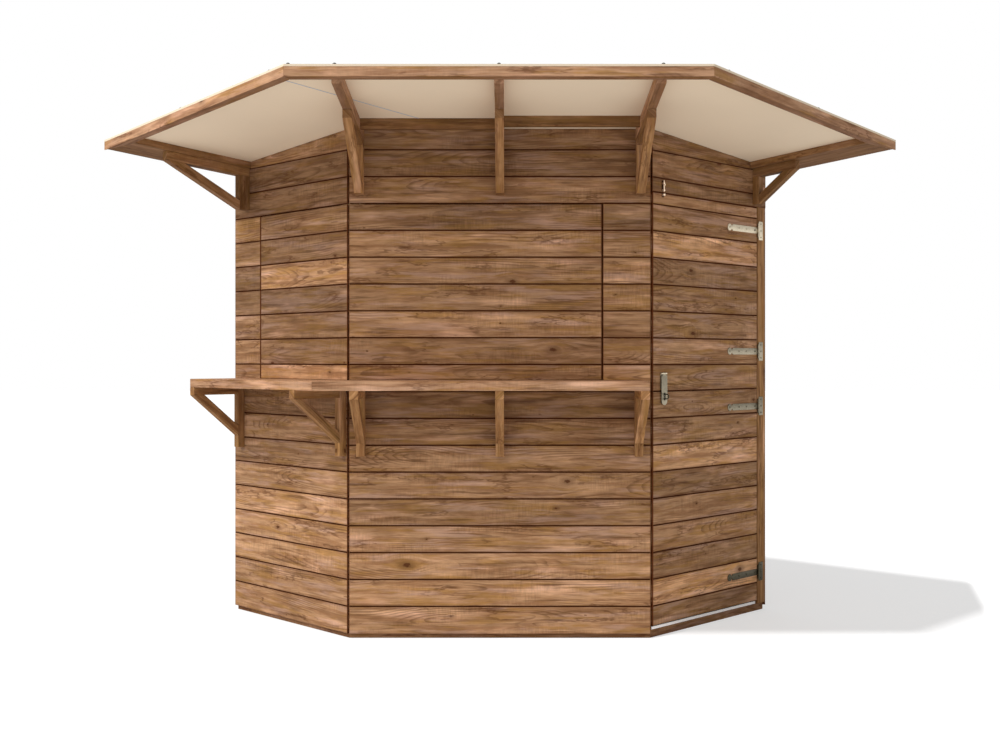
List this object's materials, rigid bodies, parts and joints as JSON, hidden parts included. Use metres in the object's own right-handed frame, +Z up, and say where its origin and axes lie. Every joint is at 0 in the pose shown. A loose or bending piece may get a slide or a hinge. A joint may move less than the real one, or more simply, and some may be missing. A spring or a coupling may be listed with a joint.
{
  "type": "corner garden bar shed",
  "caption": "Five-sided timber corner shed with a deep canopy, a bracketed serving counter, corner serving hatches and a split door on tee hinges.",
  "frame": {"origin": "centre of the bounding box at ground level, under the middle floor bearer", "axes": "+X along the front wall to the right seen from the front, +Y from the front to the back corner, +Z up"},
  "size_m": [3.517, 2.7306, 2.2727],
  "materials": {
    "cladding": "treated softwood boards, matt",
    "planed_timber": "planed treated softwood, matt",
    "counter_timber": "planed treated softwood, matt",
    "base_timber": "pressure treated softwood, matt",
    "inner_timber": "sawn softwood, matt",
    "roof_sheet": "pale smooth sheet, satin",
    "threshold_metal": "satin",
    "zinc_steel": "zinc plated, satin"
  },
  "bodies": {
    "shed": {"base_frame": "base_timber", "floor_bearers": "base_timber", "floor_boards": "inner_timber", "threshold_strip": "threshold_metal", "front_lower": "cladding", "front_stile": "cladding", "front_header": "cladding", "left_lower": "cladding", "left_stile": "cladding", "left_header": "cladding", "right_header": "cladding", "hinge_post": "planed_timber", "back_left_wall": "cladding", "back_right_wall": "cladding", "corner_posts": "inner_timber", "sole_rails": "inner_timber", "head_rails": "inner_timber", "studs": "inner_timber", "hatch_front": "cladding", "hatch_side": "cladding", "hatch_battens": "inner_timber", "sheet_left": "roof_sheet", "sheet_right": "roof_sheet", "fascia_front": "planed_timber", "fascia_left": "planed_timber", "fascia_right": "planed_timber", "rim_left": "planed_timber", "rim_right": "planed_timber", "outer_rafters": "planed_timber", "inner_rafters": "inner_timber", "noggins": "planed_timber", "roof_legs": "planed_timber", "roof_arms": "planed_timber", "roof_struts": "planed_timber", "counter_front": "counter_timber", "counter_left": "counter_timber", "counter_legs": "planed_timber", "counter_arms": "planed_timber", "counter_struts": "planed_timber", "hinge_plates": "zinc_steel", "hinge_barrels": "zinc_steel", "hinge_pins": "zinc_steel", "bolt_barrel": "zinc_steel"},
    "lower_door": {"lower_leaf": "cladding", "lower_ledges": "inner_timber", "lower_straps": "zinc_steel", "hasp_staple": "zinc_steel"},
    "upper_door": {"upper_leaf": "cladding", "upper_ledges": "inner_timber", "upper_straps": "zinc_steel", "hasp_plate": "zinc_steel", "bolt_keeper": "zinc_steel"},
    "hasp": {"hasp_strap": "zinc_steel"},
    "bolt": {"bolt_rod": "zinc_steel"}
  },
  "joints": [
    {"name": "lower_door_swing", "type": "hinge", "parent": "shed", "child": "lower_door", "pos_m": [1.22502, -0.02799, 0.9], "axis": [0, 0, 1], "range_deg": [0, 90]},
    {"name": "upper_door_swing", "type": "hinge", "parent": "lower_door", "child": "upper_door", "pos_m": [1.22502, -0.02799, 0.9], "axis": [0, 0, 1], "range_deg": [0, 90]},
    {"name": "hasp_lift", "type": "hinge", "parent": "upper_door", "child": "hasp", "pos_m": [0.70884, -0.54135, 1.133], "axis": [-0.7071, -0.7071, 0], "range_deg": [0, 120]},
    {"name": "bolt_slide", "type": "slide", "parent": "shed", "child": "bolt", "axis": [0, 0, -1], "range_m": [0, 0.014]}
  ]
}
